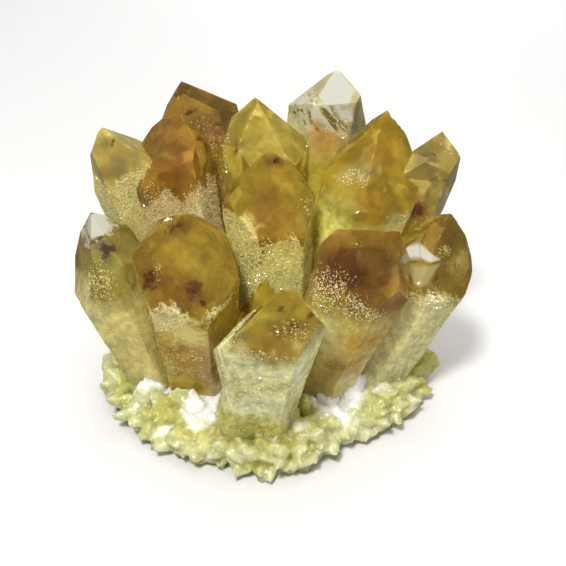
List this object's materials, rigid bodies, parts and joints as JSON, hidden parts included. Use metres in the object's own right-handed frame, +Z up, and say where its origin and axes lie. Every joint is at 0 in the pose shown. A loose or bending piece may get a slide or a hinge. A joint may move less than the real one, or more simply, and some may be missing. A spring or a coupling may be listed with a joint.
{
  "type": "quartz cluster",
  "caption": "Lotus-shaped cluster of golden quartz points, clear at the tips and frosted below, on a flat-cut base of small crystals.",
  "frame": {"origin": "middle of the flat underside that the cluster rests on", "axes": "+X to the right and +Y to the back as the cluster is shown from its front, +Z up"},
  "size_m": [0.1175, 0.0992, 0.0929],
  "materials": {
    "quartz": "polished points, frosted sides and milky base"
  },
  "bodies": {
    "root": {"quartz_cluster": "quartz"}
  },
  "joints": []
}
